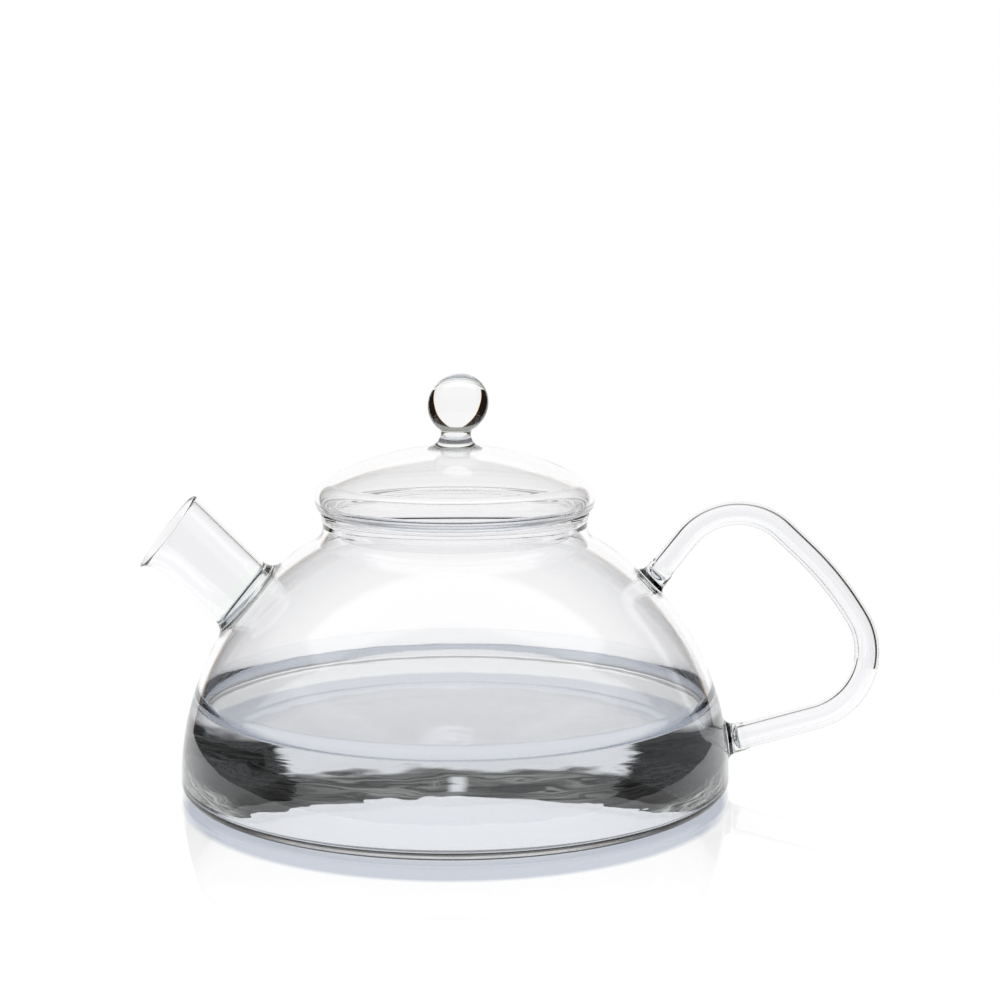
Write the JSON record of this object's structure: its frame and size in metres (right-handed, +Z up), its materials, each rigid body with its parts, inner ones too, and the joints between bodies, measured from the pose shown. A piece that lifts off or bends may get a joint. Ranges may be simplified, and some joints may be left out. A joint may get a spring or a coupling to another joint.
{
  "type": "glass teapot",
  "caption": "Clear glass teapot: half-ball bowl with a flat base, straight angled spout with a pouring lip, bent hollow tube handle, and a loose domed lid with a ball knob.",
  "frame": {"origin": "centre of the flat underside, on the table", "axes": "+Z up through the lid and knob, -X towards the spout, +X towards the handle"},
  "size_m": [0.2562, 0.1908, 0.1426],
  "materials": {
    "blown_glass": "clear blown borosilicate glass, fire polished",
    "tube_glass": "clear drawn glass tube",
    "weld_glass": "clear thick glass, rippled by the flame",
    "knob_glass": "clear solid glass"
  },
  "bodies": {
    "pot": {"bowl": "blown_glass", "spout_tube": "tube_glass", "spout_weld_ring": "weld_glass", "handle_tube": "tube_glass", "handle_weld_upper": "weld_glass", "handle_weld_lower": "weld_glass"},
    "lid": {"lid_shell": "blown_glass", "lid_skirt": "blown_glass", "knob_neck": "knob_glass", "knob_ball": "knob_glass"}
  },
  "joints": [
    {"name": "lid_lift", "type": "slide", "parent": "pot", "child": "lid", "axis": [0, 0, 1], "range_m": [0, 0.08]}
  ]
}
